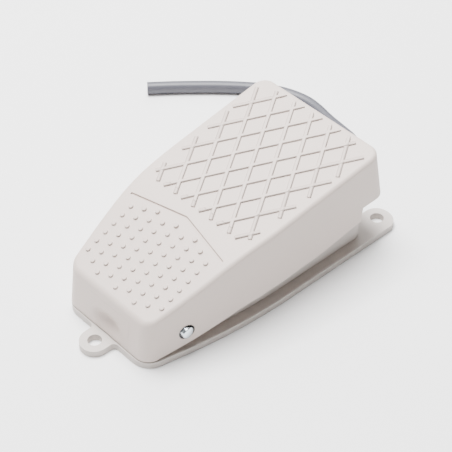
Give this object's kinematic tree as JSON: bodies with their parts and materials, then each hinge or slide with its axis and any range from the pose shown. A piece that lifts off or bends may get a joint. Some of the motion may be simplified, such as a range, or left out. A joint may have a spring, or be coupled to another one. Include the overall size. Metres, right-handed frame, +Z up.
{
  "type": "industrial foot switch",
  "caption": "Plastic foot switch: a hinged treadle with a raised lattice tread over a flanged base with screw ears, snap switch and trailing lead.",
  "frame": {"origin": "centre of the base plate's underside, midway between the front ear and the rear ears", "axes": "+Z up from the surface it is screwed to, +Y along the pedal from the hinge towards the tall end where the lead leaves, +X to the side away from the lead's bend"},
  "size_m": [0.1108, 0.1352, 0.0378],
  "materials": {
    "base_abs": "fine-textured moulded ABS, light warm grey",
    "pedal_abs": "fine-textured moulded ABS, light warm grey",
    "zinc_steel": "bright zinc-plated steel",
    "spring_steel": "drawn spring steel",
    "switch_phenolic": "black moulded thermoset",
    "cover_plastic": "dark red moulded plastic",
    "plunger_plastic": "red acetal",
    "contact_copper": "beryllium copper strip",
    "terminal_brass": "tinned brass strip",
    "lead_pvc": "satin grey PVC sheath",
    "core_brown_pvc": "brown PVC insulation",
    "core_blue_pvc": "blue PVC insulation"
  },
  "bodies": {
    "base_body": {"base": "base_abs", "hinge_pin": "zinc_steel", "return_spring": "spring_steel", "switch_case": "switch_phenolic", "switch_cover": "cover_plastic", "terminal_common": "terminal_brass", "terminal_open": "terminal_brass", "terminal_closed": "terminal_brass", "switch_bracket": "zinc_steel", "switch_screws": "zinc_steel", "switch_nuts": "zinc_steel", "bracket_screws": "zinc_steel", "lead_grommet": "lead_pvc", "lead_clamp": "base_abs", "clamp_screws": "zinc_steel", "core_brown": "core_brown_pvc", "core_blue": "core_blue_pvc", "lead": "lead_pvc"},
    "pedal": {"pedal_cover": "pedal_abs"},
    "lever": {"switch_lever": "spring_steel"},
    "plunger": {"switch_plunger": "plunger_plastic"},
    "blade": {"contact_blade": "contact_copper"}
  },
  "joints": [
    {"name": "pedal_hinge", "type": "hinge", "parent": "base_body", "child": "pedal", "pos_m": [0, -0.0326, 0.0094], "axis": [-1, 0, 0], "range_deg": [0, 6], "stiffness_Nm_per_rad": 5.2, "springref_deg": -4.58, "deforming": ["return_spring"]},
    {"name": "lever_hinge", "type": "hinge", "parent": "base_body", "child": "lever", "pos_m": [0, -0.0188, 0.0225], "axis": [-1, 0, 0], "range_deg": [0, 9]},
    {"name": "plunger_slide", "type": "slide", "parent": "base_body", "child": "plunger", "axis": [0, 0, -1], "range_m": [0, 0.0012]},
    {"name": "blade_hinge", "type": "hinge", "parent": "base_body", "child": "blade", "pos_m": [0, -0.0178, 0.0133], "axis": [-1, 0, 0], "range_deg": [0, 5.2]}
  ],
  "couplings": [
    {"joint": "lever_hinge", "follows": "pedal_hinge", "ratio": 1.455},
    {"joint": "plunger_slide", "follows": "pedal_hinge", "m_per_rad": 0.01098},
    {"joint": "blade_hinge", "follows": "pedal_hinge", "ratio": 0.8333}
  ]
}
